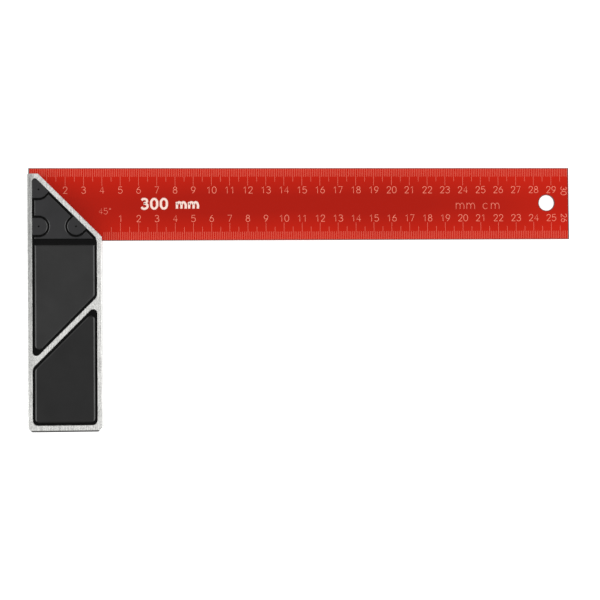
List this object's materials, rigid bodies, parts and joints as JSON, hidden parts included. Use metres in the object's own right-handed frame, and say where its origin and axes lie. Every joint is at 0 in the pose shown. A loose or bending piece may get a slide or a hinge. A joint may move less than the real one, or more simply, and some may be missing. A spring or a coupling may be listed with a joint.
{
  "type": "try square",
  "caption": "Fixed carpenter's try and mitre square: coated steel rule blade riveted in a cast stock with a mitre face, moulded grip pads on both sides and a hanging hole.",
  "frame": {"origin": "inside corner of the square: where the stock's inner reference face meets the blade's inner edge, half way through the thickness", "axes": "+X along the blade to its free end, +Y from the stock across the blade to its outer edge, +Z out of the front face (up when the square lies on its back)"},
  "size_m": [0.3, 0.144, 0.014],
  "materials": {
    "cast_metal": "die cast, with the rim and the reference faces milled bright",
    "blade_coat": "satin red coat on spring steel, with ground bare edges",
    "rivet_metal": "zinc plated",
    "cover_plastic": "fine spark-eroded texture",
    "grip_plastic": "fine spark-eroded texture, softly shining bevels"
  },
  "bodies": {
    "root": {"stock_body": "cast_metal", "blade": "blade_coat", "rivet_top": "rivet_metal", "rivet_heel": "rivet_metal", "rivet_toe": "rivet_metal", "front_rivet_cover": "cover_plastic", "back_rivet_cover": "cover_plastic", "front_upper_pad": "grip_plastic", "back_upper_pad": "grip_plastic", "front_lower_pad": "grip_plastic", "back_lower_pad": "grip_plastic"}
  },
  "joints": []
}
